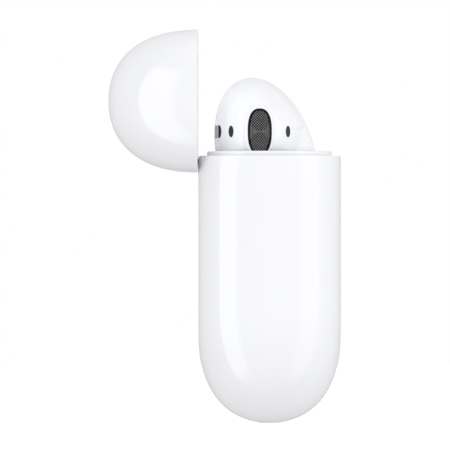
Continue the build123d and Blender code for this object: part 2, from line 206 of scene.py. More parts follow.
FINISHES = {
    "case_white": white(0.07),
    "tray_white": white(0.12),
    "bud_white": white(0.09),
    "hinge_steel": dict(color=(0.30, 0.30, 0.31), rough=0.34, metallic=1.0, vary=0.1, wear=0.08,
                        scale=2500, grain=6000, relief=0.1, stretch=(0.05, 1, 1)),
    "spring_steel": dict(color=(0.5, 0.5, 0.5), rough=0.25, metallic=1.0, vary=0.08, wear=0.05,
                         scale=3000),
    "magnet_metal": dict(color=(0.6, 0.6, 0.62), rough=0.22, metallic=1.0, vary=0.05, wear=0.05,
                         scale=1500),
    "seal_rubber": dict(color=(0.03, 0.03, 0.03), rough=0.75, vary=0.2, wear=0.08, scale=2500, grain=5000,
                        relief=0.3),
    "switch_black": dict(color=(0.025, 0.025, 0.027), rough=0.45, vary=0.2, wear=0.06, scale=1800,
                         grain=5000, relief=0.15),
    "port_steel": dict(color=(0.5, 0.5, 0.51), rough=0.3, metallic=1.0, vary=0.06, wear=0.06, scale=2000,
                       grain=6000, relief=0.1),
    "contact_tongue": dict(color=(0.02, 0.02, 0.02), rough=0.5, vary=0.2, wear=0.06, scale=1800,
                           grain=5000, relief=0.15),
    "contact_gold": dict(color=(0.83, 0.62, 0.24), rough=0.2, metallic=1.0, vary=0.05, wear=0.05,
                         scale=2500),
    "chip_black": dict(color=(0.02, 0.02, 0.022), rough=0.55, vary=0.2, wear=0.06, scale=2500, grain=7000,
                       relief=0.25),
    "flex_amber": dict(color=(0.45, 0.2, 0.03), rough=0.3, vary=0.1, wear=0.05, scale=1200),
    "cell_foil": dict(color=(0.62, 0.62, 0.64), rough=0.35, metallic=1.0, vary=0.06, wear=0.1, scale=500,
                      grain=900, relief=0.4),
    "lead_nickel": dict(color=(0.62, 0.6, 0.55), rough=0.28, metallic=1.0, vary=0.05, wear=0.05,
                        scale=1500),
    "led_amber": dict(color=(0.85, 0.7, 0.3), rough=0.2, vary=0.05, wear=0.05, scale=1500),
    "sensor_black": dict(color=(0.012, 0.014, 0.014), rough=0.06, vary=0.1, wear=0.02, scale=900,
                         grain=2500, relief=0.01, Specular_IOR_Level=0.6),
    "mesh_grey": dict(color=(0.34, 0.36, 0.355), rough=0.5, vary=0.08, wear=0.08, scale=3500, grain=9000,
                      relief=0.1),
    "mesh_dark": dict(color=(0.2, 0.205, 0.21), rough=0.3, metallic=1.0, vary=0.15, wear=0.06, scale=3500,
                      grain=9000, relief=0.1),
    "rim_black": dict(color=(0.008, 0.008, 0.009), rough=0.35, vary=0.1, wear=0.05, scale=1500,
                      grain=3000, relief=0.05, Specular_IOR_Level=0.15),
    "ring_chrome": dict(color=(0.75, 0.75, 0.77), rough=0.08, metallic=1.0, vary=0.03, wear=0.03,
                        scale=900, grain=2500, relief=0.01),
}
materials = {slot: finish_material(slot, **finish) for slot, finish in FINISHES.items()}
materials["board_green"] = board_material("board_green")
materials["clear_lens"] = clear_material("clear_lens")
for node, obj in nodes.items():
    for material_slot in obj.material_slots:
        material_slot.material = materials[slot_of[node]]


# ---------------------------------------------------------------- mesh helpers
SHARP = math.radians(32)        # edges that turn more than this stay sharp
CAST_STEPS, CAST_HALVINGS = 57, 26
WIRE_SIDES = 6
MERGE = 0.0005                  # points nearer than this, in millimetres, are one point


def raw_mesh(verts, faces):
    """A mesh in millimetres with its faces turned outwards."""
    mesh = bpy.data.meshes.new("raw")
    mesh.from_pydata([tuple(v) for v in np.asarray(verts, float)], [], [tuple(f) for f in faces])
    work = bmesh.new()
    work.from_mesh(mesh)
    bmesh.ops.recalc_face_normals(work, faces=work.faces)
    work.to_mesh(mesh)
    work.free()
    return mesh


def without_slivers(mesh):
    """The mesh with close points merged, folded-over triangle pairs deleted and pinholes filled."""
    work = bmesh.new()
    work.from_mesh(mesh)
    bmesh.ops.remove_doubles(work, verts=work.verts, dist=MERGE)
    bmesh.ops.dissolve_degenerate(work, edges=work.edges, dist=MERGE)
    bmesh.ops.triangulate(work, faces=work.faces)
    same = {}
    for face in work.faces:
        same.setdefault(frozenset(face.verts), []).append(face)
    folded = [face for faces in same.values() if len(faces) > 1 for face in faces]
    bmesh.ops.delete(work, geom=folded, context="FACES")
    bmesh.ops.holes_fill(work, edges=[e for e in work.edges if e.is_boundary], sides=4)
    bmesh.ops.recalc_face_normals(work, faces=work.faces)
    work.to_mesh(mesh)
    work.free()
    return mesh


def carved(mesh, cutters, operation="DIFFERENCE"):
    """The mesh less each cutter mesh, or only where they overlap, all in millimetres."""
    target = bpy.data.objects.new("target", mesh)
    bpy.context.collection.objects.link(target)
    tools = []
    for cutter in cutters:
        tool = bpy.data.objects.new("tool", cutter)
        bpy.context.collection.objects.link(tool)
        step = target.modifiers.new("carve", "BOOLEAN")
        step.operation = operation
        step.solver = "EXACT"
        step.object = tool
        tools.append(tool)
    bpy.context.view_layer.update()
    result = bpy.data.meshes.new_from_object(target.evaluated_get(bpy.context.evaluated_depsgraph_get()))
    for tool in (target, *tools):
        bpy.data.objects.remove(tool)
    return without_slivers(result)


def piece(name, mesh, body, slot, replaced=(), place=Matrix.Identity(4)):
    """A finished piece on a body: the millimetre mesh in its place, smooth but for its sharp edges."""
    mesh = mesh.copy()
    mesh.transform(Matrix.Diagonal((MM, MM, MM, 1)) @ place)
    if place.determinant() < 0:
        mesh.flip_normals()
    mesh.shade_smooth()
    mesh.set_sharp_from_angle(angle=SHARP)
    mesh.materials.clear()
    mesh.materials.append(materials[slot])
    obj = bpy.data.objects.new(name, mesh)
    bpy.context.collection.objects.link(obj)
    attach(obj, body)
    if replaced:
        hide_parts(*replaced)
    return obj


def earbud_pair(name, mesh, slot, replaced=()):
    """The same piece in both earbuds, drawn as (outwards, y, z)."""
    pair = []
    for side, sign in (("left", -1), ("right", 1)):
        place = Matrix.Diagonal((sign, 1, 1, 1))
        stands_for = [f"{side}_{node}" for node in replaced]
        pair.append(piece(f"{side}_{name}", mesh, side + "_earbud", slot, stands_for, place))
    return pair


def grid_faces(rows, columns, start=0):
    """Quads over a rows x columns grid of points whose columns close into rings."""
    faces = []
    for r in range(rows - 1):
        for c in range(columns):
            d = (c + 1) % columns
            a = start + r * columns
            b = a + columns
            faces.append((a + c, a + d, b + d, b + c))
    return faces


def lofted(rings, first=None, last=None, looped=False):
    """A closed mesh through rings of points, ending in a point, or in a flat face where none is given."""
    columns = len(rings[0])
    points = list(np.concatenate(rings))
    faces = grid_faces(len(rings), columns)
    ring = (len(rings) - 1) * columns
    if looped:
        for c in range(columns):
            d = (c + 1) % columns
            faces.append((ring + c, ring + d, d, c))
        return raw_mesh(points, faces)
    for end, base in ((first, 0), (last, ring)):
        if end is None:
            faces.append(tuple(range(base, base + columns)))
            continue
        points.append(end)
        for c in range(columns):
            faces.append((base + c, base + (c + 1) % columns, len(points) - 1))
    return raw_mesh(points, faces)


def box_mesh(low, high):
    """A block, used only to cut openings."""
    corners = [[(low[0], high[0])[i], (low[1], high[1])[j], z]
               for i, j in ((0, 0), (1, 0), (1, 1), (0, 1)) for z in (low[2], high[2])]
    ends = [(0, 2, 4, 6), (1, 3, 5, 7)]
    return raw_mesh(corners, ends + [(0, 1, 3, 2), (2, 3, 5, 4), (4, 5, 7, 6), (6, 7, 1, 0)])


def ease(x, low, high):
    """0 up to low and 1 from high on, with a smooth rise between."""
    t = np.clip((x - low) / (high - low), 0, 1)
    return t * t * (3 - 2 * t)


def superellipse(half_a, half_b, count=96, power=2.5):
    """Points of a rounded oval, flatter along its sides than an ellipse."""
    turn = np.linspace(0, 2 * np.pi, count, endpoint=False)
    c, s = np.cos(turn), np.sin(turn)
    reach = (np.abs(c / half_a) ** power + np.abs(s / half_b) ** power) ** (-1 / power)
    return np.stack([c * reach, s * reach], 1)


def stand(outline, centre, level, normal=0):
    """An outline drawn about a centre in the plane across one axis, at a level on that axis."""
    flat = outline + np.asarray(centre)
    return np.insert(flat, normal, level, axis=1)


# ---------------------------------------------------------------- earbuds
# All in millimetres, as (outwards, y, z); outwards is the distance from the case's middle plane.
STEM = (6.2, -4.4, 2.9)         # the stem's axis and radius
STEM_END = 12.5
NECK = (31.0, 40.0)             # the heights over which the stem widens into the head
HEAD = (6.85, 0.49, 39.9)       # the centre of the head, a leaning ellipsoid
HEAD_LONG, HEAD_SHORT, HEAD_LEAN = 12.1, 7.28, math.radians(16.3)
HEAD_ROUND = 0.69               # the head's half width over its short half size
HEAD_TOP_FROM = (40.0, 42.5)    # the heights over which level sections give way to the ellipsoid
CHORD_TOP = 44.0                # level sections stop narrowing here
NOSE = (1.5, 43.6)              # the nose's axis
NOSE_TIP = 16.1
NOSE_TILT = 0.22
NOSE_BELOW = 6.7                # how far the nose spreads below its axis
MOUTH = (1.80, 3.42)            # the speaker mouth's half sizes
MOUTH_POWER = 2.5
COLLAR_WIDTH, COLLAR_ROUND, COLLAR_SLOPE, COLLAR_DEEP = 0.12, 0.2, 0.4, 0.7
FLARE_START, FLARE_INSET, FLARE_POWER = 0.6, 0.3, 1.58
OUTLINE_INSET = 0.08
BLEND, BLEND_SEAM, BLEND_TOP, BLEND_VALLEY = 0.02, 0.3, 1.4, 1.0    # rounding where nose meets head
BUD_COLUMNS = 384
BUD_CORE = np.array([7.6, 1.2, 43.6])   # a point inside the head that sees all of its surface


def soft_min(a, b, k):
    """The lower of two values, with their crossing rounded over a width k."""
    h = np.clip(0.5 + 0.5 * (b - a) / k, 0, 1)
    return b * (1 - h) + a * h - k * h * (1 - h)


def quarter(t, power=2.0):
    """The rise of a quarter oval, from 0 with an upright start to 1."""
    return (1 - (1 - np.clip(t, 0, 1)) ** power) ** (1 / power)


def mouth_reach(c, s):
    """From the nose's axis to the edge of the speaker mouth, along the direction (c, s)."""
    wide, tall = np.abs(c / MOUTH[0]), np.abs(s / MOUTH[1])
    return (wide**MOUTH_POWER + tall**MOUTH_POWER) ** (-1 / MOUTH_POWER)


def outline_reach(c, s):
    """From the nose's axis to the earbud's leaning side outline, or to the neck below it."""
    lean_c, lean_s = math.cos(HEAD_LEAN), math.sin(HEAD_LEAN)
    dy, dz = NOSE[0] - HEAD[1], NOSE[1] - HEAD[2]
    along = (dz * lean_c + dy * lean_s) / HEAD_LONG
    across = (dy * lean_c - dz * lean_s) / HEAD_SHORT
    along_step = (s * lean_c + c * lean_s) / HEAD_LONG
    across_step = (c * lean_c - s * lean_s) / HEAD_SHORT
    square = along_step**2 + across_step**2
    half = along * along_step + across * across_step
    reach = (-half + np.sqrt(half**2 - square * (along**2 + across**2 - 1))) / square
    return soft_min(reach - OUTLINE_INSET, NOSE_BELOW + 20 * np.maximum(s, 0) ** 2, 0.3)


def nose_field(u, y, z):
    """The nose: a raised collar round the mouth, then a dome that spreads to the earbud's outline."""
    step = NOSE_TIP - u
    dy = y - NOSE[0] - NOSE_TILT * np.clip(step, 0, 1.2) * (1 - ease(step, 2, 6))
    dz = z - NOSE[1]
    r = np.hypot(dy, dz) + 1e-9
    c, s = dy / r, dz / r
    mouth = mouth_reach(c, s)
    collar = mouth + COLLAR_WIDTH + COLLAR_ROUND * quarter(step / COLLAR_ROUND)
    collar = collar + COLLAR_SLOPE * np.minimum(step, COLLAR_DEEP)
    depth = NOSE_TIP - HEAD[0] - FLARE_START
    flare = mouth + FLARE_INSET
    spread = quarter((step - FLARE_START) / depth, FLARE_POWER)
    flare = flare + (outline_reach(c, s) - flare) * spread
    flare = np.where(step > FLARE_START, flare, mouth)
    return np.maximum((r + soft_min(-collar, -flare, 0.07)) * 0.8, u - NOSE_TIP)


def oval_distance(a, b, half_a, half_b, power=2.0):
    """Roughly the distance to a superellipse, negative inside."""
    p, q = np.abs(a / half_a) + 1e-9, np.abs(b / half_b) + 1e-9
    k = (p**power + q**power) ** (1 / power)
    slope = np.hypot((p / k) ** (power - 1) / half_a, (q / k) ** (power - 1) / half_b)
    return (k - 1) / slope


def head_chord(z):
    """The front and rear y of the head's side outline at a height."""
    lean = math.pi / 2 - HEAD_LEAN
    c, s = math.cos(lean), math.sin(lean)
    a = (c / HEAD_LONG) ** 2 + (s / HEAD_SHORT) ** 2
    b = c * s * (1 / HEAD_LONG**2 - 1 / HEAD_SHORT**2)
    d = (s / HEAD_LONG) ** 2 + (c / HEAD_SHORT) ** 2
    rise = z - HEAD[2]
    root = np.sqrt(np.maximum(0, (b * rise) ** 2 - a * (d * rise**2 - 1)))
    return HEAD[1] + (-b * rise - root) / a, HEAD[1] + (-b * rise + root) / a


def bud_field(p):
    """Distance-like value, negative inside an earbud; p is (outwards, y, z) in millimetres."""
    u, y, z = p[..., 0], p[..., 1], p[..., 2]
    front, rear = head_chord(np.minimum(z, CHORD_TOP))
    w = ease(z, *NECK)
    front = (STEM[1] - STEM[2]) * (1 - w) + front * w
    rear = (STEM[1] + STEM[2]) * (1 - w) + rear * w
    half = np.maximum((rear - front) / 2, 0.01)
    centre = STEM[0] * (1 - w) + HEAD[0] * w
    level = oval_distance(u - centre, y - (front + rear) / 2, half * (1 - w + HEAD_ROUND * w), half)
    c, s = math.cos(HEAD_LEAN), math.sin(HEAD_LEAN)
    dy, dz = y - HEAD[1], z - HEAD[2]
    along = (dz * c + dy * s) / HEAD_LONG
    across = (dy * c - dz * s) / HEAD_SHORT
    out = (u - HEAD[0]) / (HEAD_SHORT * HEAD_ROUND)
    k = np.sqrt(along**2 + across**2 + out**2) + 1e-9
    g = np.sqrt((along / HEAD_LONG) ** 2 + (across / HEAD_SHORT) ** 2
                + (out / HEAD_SHORT / HEAD_ROUND) ** 2) + 1e-9
    blend = ease(z, *HEAD_TOP_FROM)
    head = level * (1 - blend) + k * (k - 1) / g * blend
    nose = np.maximum(nose_field(u, y, z), HEAD[0] - u)
    valley = 1 - ease(y, -4.5, -1.0)
    soft = ease(z, 40.2, 42.0) * (1 - ease(z, 42.5, 46.0)) * ease(u, 8.5, 11.5)
    seam = ease(u, HEAD[0], HEAD[0] + 1.2)
    return soft_min(head, nose, BLEND + BLEND_SEAM * seam + (BLEND_TOP - BLEND_VALLEY * valley) * soft)


def cast(origin, direction, reach=14.0, field=bud_field):
    """Where each ray from inside the solid leaves it: coarse steps, then halving."""
    steps = np.linspace(0, reach, CAST_STEPS)
    low = np.zeros(len(origin))
    high = np.full(len(origin), reach)
    found = np.zeros(len(origin), bool)
    for s in steps[1:]:
        outside = field(origin + direction * s) > 0
        new = outside & ~found
        high[new] = s
        low[new] = s - steps[1]
        found |= outside
    for _ in range(CAST_HALVINGS):
        mid = (low + high) / 2
        outside = field(origin + direction * mid[:, None]) > 0
        high = np.where(outside, mid, high)
        low = np.where(outside, low, mid)
    return origin + direction * ((low + high) / 2)[:, None]


def compass(columns, stretch=1.0):
    """Level unit directions round the Z axis, closer together towards +-X as stretch grows."""
    angle = np.linspace(0, 2 * np.pi, columns, endpoint=False)
    flat = np.stack([np.cos(angle) * stretch, np.sin(angle), 0 * angle], 1)
    return flat / np.linalg.norm(flat, axis=1)[:, None]


def bud_mesh(columns, rows_below, rows_above, grow=0.0):
    """An earbud housing, or that form grown all over by a few tenths."""
    flat = compass(columns)
    field = lambda p: bud_field(p) - grow
    rings = []
    stem, neck = np.linspace(STEM_END, 30, 12), np.linspace(30.5, 43.45, rows_below)
    for z in np.concatenate([stem, neck]):
        w = ease(z, 29, 41)
        origin = np.array([STEM[0] * (1 - w) + BUD_CORE[0] * w, STEM[1] * (1 - w) + BUD_CORE[1] * w, z])
        rings.append(cast(np.tile(origin, (columns, 1)), flat, field=field))
    for rise in np.linspace(0, np.pi / 2, rows_above)[:-1]:
        ray = flat * math.cos(rise) + np.array([0, 0, math.sin(rise)])
        rings.append(cast(np.tile(BUD_CORE, (columns, 1)), ray, field=field))
    top = cast(BUD_CORE[None], np.array([[0, 0, 1.0]]), field=field)[0]
    return lofted(rings, first=np.array([STEM[0], STEM[1], STEM_END]), last=top)


def bud_front(y, z, sink=0.0):
    """Where rays along X, at these y and z, first meet the outer side of the earbud."""
    y, z = np.broadcast_arrays(np.atleast_1d(y).astype(float), z)
    start = np.stack([np.full(y.shape, BUD_CORE[0]), y, z], 1)
    hit = cast(start, np.tile([1.0, 0, 0], (len(y), 1)))
    return hit[:, 0] - sink


# Openings in the housing: the speaker mouth, two sensor windows and the vent in the rear side
MOUTH_FLOOR = 15.0
MOUTH_RIM = ((0.01, 15.2), (0.01, 16.0), (0.05, 16.06), (0.12, 16.08), (0.24, 16.04), (0.33, 15.95),
             (0.36, 15.85), (0.36, 15.2))       # the rim's profile: inset and level
GRILLE_LEVEL, GRILLE_INSET, GRILLE_PITCH, GRILLE_WIRE = 15.78, 0.34, 0.28, 0.058
# GRILLE_PAINTED_LIGHT_LEVELS: distances from x = 0, in metres, over which the grille wire's colour goes
# from painted shade to painted highlight.
GRILLE_PAINTED_LIGHT_LEVELS = (0.01583, 0.015896)
PLATE_LEVELS, PLATE_INSET = (15.3, 15.42), 0.3
PLATE_HOLE, PLATE_HOLE_RISE, PLATE_CUT = (1.4, 1.46), 1.57, (15.25, 15.5)
DRIVER_LEVELS, DRIVER_INSET = (15.02, 15.1), 0.02
SENSORS = [(5.77, 0.37, 0.88), (-2.72, 0.34, 0.87)]     # y, and half sizes in y and z
SENSOR_SINK = 0.5
SENSOR_EDGE = ((0.01, SENSOR_SINK - 0.05), (0.01, 0.16), (0.03, 0.11), (0.08, 0.08))
SENSOR_FACE = 0.08
VENT_Z, VENT_HALF = 43.6, 0.96
VENT_Y = 7.2
VENT_LENGTH = 4.4
VENT_SINK = 0.5
VENT_POCKET = (-1.0, VENT_SINK + 0.15)
VENT_FLOOR_THICK = 0.12
VENT_SCREEN = (0.04, 0.14)
VENT_PITCH, VENT_WIRE, VENT_WIRE_EDGE = 0.2, 0.045, 0.06
VENT_STEP_Y = 7.74
WALL_GAP = 0.01
CUT_PAST = 1


def slot_outline(half_length, half_width, count=48):
    """A straight slot with round ends."""
    turn = np.linspace(-np.pi / 2, np.pi / 2, count // 2)
    end = np.stack([np.cos(turn), np.sin(turn)], 1) * half_width + [half_length - half_width, 0]
    return np.concatenate([end, -end])


def sensor_cutter(y, half_y, half_z):
    """The opening for a sensor window, with a floor that follows the housing."""
    outline = superellipse(half_y, half_z, 64, 2.0)
    floor = bud_front(outline[:, 0] + y, outline[:, 1] + NOSE[1], SENSOR_SINK)
    ring = stand(outline, (y, NOSE[1]), 0)
    deep, high = ring.copy(), ring.copy()
    deep[:, 0] = floor
    high[:, 0] = NOSE_TIP + CUT_PAST
    return lofted([deep, high])


def sensor_window(y, half_y, half_z):
    """A dark window just below the housing, with a domed face and a rounded edge."""
    profile = [(half_y - inset, half_z - inset, sink) for inset, sink in SENSOR_EDGE]
    profile += [((half_y - SENSOR_FACE) * share, (half_z - SENSOR_FACE) * share, SENSOR_FACE)
                for share in (0.75, 0.5, 0.25)]
    rings = []
    for wide, tall, sink in profile:
        outline = superellipse(wide, tall, 64, 2.0)
        ring = stand(outline, (y, NOSE[1]), 0)
        ring[:, 0] = bud_front(outline[:, 0] + y, outline[:, 1] + NOSE[1], sink)
        rings.append(ring)
    return lofted(rings, last=np.array([bud_front(y, NOSE[1], SENSOR_FACE)[0], y, NOSE[1]]))


def bud_side(u, z):
    """The y of the earbud's rear side at these places."""
    start = np.stack([u, np.full(u.shape, BUD_CORE[1]), z], 1)
    return cast(start, np.tile([0, 1.0, 0], (len(u), 1)))[:, 1]


VENT_U = bud_front(VENT_Y, VENT_Z)[0] - VENT_LENGTH / 2
VENT_STEP = bud_front(VENT_STEP_Y, VENT_Z)[0]


def vent_prism(inset):
    """The vent's slot, cut straight into the rear side."""
    outline = slot_outline(VENT_LENGTH / 2 - inset, VENT_HALF - inset)
    return lofted([stand(outline, (VENT_U, VENT_Z), y, 1) for y in (5.0, 9.5)])


def vent_layer(low, high, top, bottom):
    """A layer between two depths below the rear side, over the stretch low..high along the slot."""
    rings = []
    z = VENT_Z + np.linspace(-VENT_HALF, VENT_HALF, 14)
    for u in np.linspace(low, high, 20):
        y = bud_side(np.full(z.shape, u), z)
        upper = np.stack([np.full(z.shape, u), y - top, z], 1)
        lower = np.stack([np.full(z.shape, u), y - bottom, z], 1)
        rings.append(np.concatenate([upper, lower[::-1]]))
    return lofted(rings)


def woven(inside, pitch, radius, surface):
    """Two sets of wires at 45 degrees, each over and under the other, kept where inside(a, b) is true."""
    reach = 5.0
    count = int(reach / pitch)
    verts, faces = [], []
    turn = np.linspace(0, 2 * np.pi, WIRE_SIDES + 1)[:-1]
    for family in (0, 1):
        angle = math.pi / 4 + family * math.pi / 2
        way = np.array([math.cos(angle), math.sin(angle)])
        side = np.array([-way[1], way[0]])
        for i in range(-count, count + 1):
            s = np.arange(-reach, reach, pitch / 4)
            flat = s[:, None] * way + side * (i + 0.5) * pitch
            keep = np.nonzero(inside(flat[:, 0], flat[:, 1]))[0]
            if len(keep) < 3:
                continue
            flat, s = flat[keep[0]:keep[-1] + 1], s[keep[0]:keep[-1] + 1]
            wave = -np.sin(np.pi * (s / pitch + i)) * radius
            centre = surface(flat[:, 0], flat[:, 1], wave)
            across = surface(flat[:, 0] + side[0] * radius, flat[:, 1] + side[1] * radius, wave) - centre
            up = surface(flat[:, 0], flat[:, 1], wave + radius) - centre
            base = len(verts)
            tube = centre[:, None] + across[:, None] * np.cos(turn)[None, :, None]
            tube = tube + up[:, None] * np.sin(turn)[None, :, None]
            verts.extend(tube.reshape(-1, 3))
            faces.extend(grid_faces(len(s), WIRE_SIDES, base))
            faces.append(tuple(range(base, base + WIRE_SIDES)))
            faces.append(tuple(range(len(verts) - WIRE_SIDES, len(verts))))
    return raw_mesh(verts, faces)


def mouth_slab(inset, levels):
    """A slab of the speaker mouth's outline, drawn in by an inset."""
    outline = superellipse(MOUTH[0] - inset, MOUTH[1] - inset)
    return lofted([stand(outline, NOSE, level) for level in levels])


def make_housing():
    """The white housing with its openings, and the sensor windows that fill two of them."""
    near, far = VENT_U + VENT_LENGTH, VENT_U - VENT_LENGTH
    pocket = carved(vent_layer(far, near, *VENT_POCKET), [vent_prism(0)], "INTERSECT")
    cutters = [mouth_slab(0, (MOUTH_FLOOR, NOSE_TIP + CUT_PAST)), pocket]
    cutters += [sensor_cutter(*sensor) for sensor in SENSORS]
    housing = carved(bud_mesh(BUD_COLUMNS, 90, 96), cutters)
    earbud_pair("bud_housing", housing, "bud_white", ("front_shell", "rear_shell"))
    for sensor, name in zip(SENSORS, ("rear_sensor", "front_sensor")):
        earbud_pair(name, sensor_window(*sensor), "sensor_black", ("sensor_windows",))


def make_speaker_mouth():
    """A black rim, a woven grille, a plate with two round holes and the dark driver behind them."""
    rim = [stand(superellipse(MOUTH[0] - inset, MOUTH[1] - inset), NOSE, level)
           for inset, level in MOUTH_RIM]
    earbud_pair("mouth_rim", lofted(rim, looped=True), "rim_black", ("grille_rim",))

    def within(a, b):
        return oval_distance(a, b, MOUTH[0] - GRILLE_INSET, MOUTH[1] - GRILLE_INSET, MOUTH_POWER) < 0

    def over_mouth(a, b, lift):
        return np.stack([GRILLE_LEVEL + lift, a + NOSE[0], b + NOSE[1]], 1)

    grille = woven(within, GRILLE_PITCH, GRILLE_WIRE, over_mouth)
    for obj in earbud_pair("mouth_mesh", grille, "mesh_dark", ("speaker_grille",)):
        # The wire's colour carries painted shade in its dips and painted highlight where it rises.
        obj.data.materials[0] = weave_material("grille_wire", *GRILLE_PAINTED_LIGHT_LEVELS)
    circle = superellipse(*PLATE_HOLE, 48, 2.0)
    holes = [lofted([stand(circle, (NOSE[0], NOSE[1] + rise), level) for level in PLATE_CUT])
             for rise in (-PLATE_HOLE_RISE, PLATE_HOLE_RISE)]
    earbud_pair("mouth_plate", carved(mouth_slab(PLATE_INSET, PLATE_LEVELS), holes), "mesh_grey")
    driver = mouth_slab(DRIVER_INSET, DRIVER_LEVELS)
    earbud_pair("driver_face", driver, "switch_black", ("speaker_driver",))


def make_vent():
    """A grey screen over the slot's rear part, and an open mouth with a dark mesh on a black floor; the
    floor's black is painted shade for the deep part of the slot.
    """
    near, far = VENT_U + VENT_LENGTH, VENT_U - VENT_LENGTH
    slot = vent_prism(WALL_GAP)
    screen = carved(vent_layer(far, VENT_STEP, *VENT_SCREEN), [slot], "INTERSECT")
    earbud_pair("vent_screen", screen, "mesh_grey", ("vent_mesh",))
    # Painted shade: a black floor under the deep part of the slot, standing for the shade inside it.
    floor = vent_layer(far, near, VENT_SINK, VENT_SINK + VENT_FLOOR_THICK)
    floor = carved(floor, [slot], "INTERSECT")
    earbud_pair("vent_floor_painted_shade", floor, "switch_black")

    def within(a, b):
        past_straight = np.maximum(a - VENT_LENGTH / 2 + VENT_HALF, 0)
        round_end = np.hypot(past_straight, b) < VENT_HALF - VENT_WIRE_EDGE
        return round_end & (a > VENT_STEP - VENT_U - 1.0)

    def over_floor(a, b, lift):
        y = bud_side(a + VENT_U, b + VENT_Z) - VENT_SINK + VENT_FLOOR_THICK
        return np.stack([a + VENT_U, y + lift, b + VENT_Z], 1)

    weave = woven(within, VENT_PITCH, VENT_WIRE, over_floor)
    earbud_pair("vent_weave", weave, "mesh_dark", ("vent_mesh",))


make_housing()
make_speaker_mouth()
make_vent()


# ---------------------------------------------------------------- case shells
CASE = Vector((44.3, 21.3, 53.5))
CORNER, REACH = 17.5, 13.0      # the corner radius seen from the front, and the rounding's width
NOSE_PULL, FLANK_PULL = 6.6, 8.1    # handles of the curve that rounds the edge
BODY_WALL, LID_WALL = 1.25, 0.85
SEAM, LID_RIM = 40.0, 40.1
LINER_RIM = 40.9
LINER_EDGE = ((0, 0.25), (0.07, 0.07), (0.25, 0.0))     # height above the rim, and inset
LINER_GAP = 0.1
BUD_CLEARANCE = 0.3
PIVOT = (9.45, 38.8)            # the hinge line's y and z
BODY_FAN, LID_FAN = 24.0, 43.0  # the heights where level rings give way to fanned ones
LEVEL_REACH, FAN_REACH = 30.0, 45.0
HINGE_GAP = ((-6.6, 6.95, 37.3), (6.6, 12.0, 43.0))
LEAF_GAP = ((-6.2, 8.35, 37.0), (6.2, 13.5, 45.3))
BUTTON_Z, BUTTON_HOLE = 22.0, 3.05
PORT_HALF = (4.3, 1.65)
SHELL_COLUMNS = 448
RELIEF_POINTS, RELIEF_GAP = 720, 0.12
EDGE_ROUND = 0.08
OPENED = Matrix.Rotation(math.radians(-90), 4, "X")
SWING = Matrix.Translation((0, *PIVOT)) @ OPENED @ Matrix.Translation((0, -PIVOT[0], -PIVOT[1]))


def pebble_field(inset):
    """The case's rounded form with every face moved inwards, as a function that is positive outside."""
    half = CASE.y / 2 - inset
    reach = REACH - inset
    t = np.linspace(0, 1, 4000)
    a, b, c, d = (1 - t) ** 3, 3 * (1 - t) ** 2 * t, 3 * (1 - t) * t**2, t**3
    profile_y = half * (a + b) + NOSE_PULL * half / (CASE.y / 2) * c
    profile_r = FLANK_PULL * reach / REACH * b + reach * (c + d)
    core = np.array([CASE.x / 2 - CORNER, CASE.z / 2 - CORNER])

    def field(p):
        q = np.abs(p[..., [0, 2]] - [0, CASE.z / 2]) - core
        r = np.hypot(*np.maximum(q, 0).T) + np.minimum(q.max(-1), 0) - (CORNER - REACH)
        r = np.maximum(r, 0)
        beyond = np.abs(p[..., 1]) - np.interp(r, profile_r, profile_y)
        return np.where(r >= reach, r - reach + 1e-6, beyond)

    return field


def shell_rings(inset, levels, fan_from, fan_rows, down):
    """Level rings at the given heights and insets, then rings that close in on the pole."""
    flat = compass(SHELL_COLUMNS, CASE.x / CASE.y)
    rings = []
    for z, extra in levels:
        middle = np.tile([0, 0, z], (SHELL_COLUMNS, 1))
        rings.append(cast(middle, flat, LEVEL_REACH, pebble_field(inset + extra)))
    core = np.array([0, 0, fan_from])
    for tilt in np.linspace(0, np.pi / 2, fan_rows + 1)[1:-1]:
        ray = flat * math.cos(tilt) + np.array([0, 0, -math.sin(tilt) if down else math.sin(tilt)])
        rings.append(cast(np.tile(core, (SHELL_COLUMNS, 1)), ray, FAN_REACH, pebble_field(inset)))
    pole = np.array([0, 0, inset if down else CASE.z - inset])
    return rings, pole


def rounded_levels(rim, away, stop, count):
    """Heights from a rounded rim edge down or up to where the fan begins."""
    corner = [(rim + away * EDGE_ROUND * (1 - math.sin(b)), EDGE_ROUND * (1 - math.cos(b)))
              for b in np.linspace(np.pi / 2, 0, 6)]
    return corner + [(z, 0.0) for z in np.linspace(rim + away * EDGE_ROUND, stop, count + 1)[1:]]


def shell_mesh(wall, rim, fan_from, down, rows, fan_rows):
    """A shell with a wall thickness and a rounded rim, the inside drawn with fewer rows."""
    away = -1 if down else 1
    outer_levels = rounded_levels(rim, away, fan_from, rows)
    inner_levels = rounded_levels(rim, away, fan_from, rows // 4)
    outer, outer_pole = shell_rings(0, outer_levels, fan_from, fan_rows, down)
    inner, inner_pole = shell_rings(wall, inner_levels, fan_from, fan_rows // 3, down)
    rim_edge = rounded_levels(rim, away, fan_from, 1)[:6]
    inner_edge = [2 * inner[5] - ring for ring in inner[:6]]
    for ring, (z, _) in zip(inner_edge, rim_edge):
        ring[:, 2] = z
    rings = inner[:5:-1] + inner_edge[::-1] + outer
    return lofted(rings, first=inner_pole, last=outer_pole)


def cylinder(centre, radius, low, high, axis, count=96):
    """A cylinder along one axis, used only to cut openings."""
    circle = superellipse(radius, radius, count, 2.0)
    return lofted([stand(circle, centre, level, axis) for level in (low, high)])


def make_body():
    """The body shell, open at the top, at the hinge, at the button and at the port."""
    hinge_gap = box_mesh(*HINGE_GAP)
    button_hole = cylinder((0, BUTTON_Z), BUTTON_HOLE, 8.0, 12.0, 1)
    port = lofted([stand(slot_outline(*PORT_HALF), (0, 0), z, 2) for z in (-1.0, 3.0)])
    body = shell_mesh(BODY_WALL, SEAM, BODY_FAN, True, 40, 90)
    piece("case_body", carved(body, [hinge_gap, button_hole, port]), "case", "case_white", ["body_shell"])


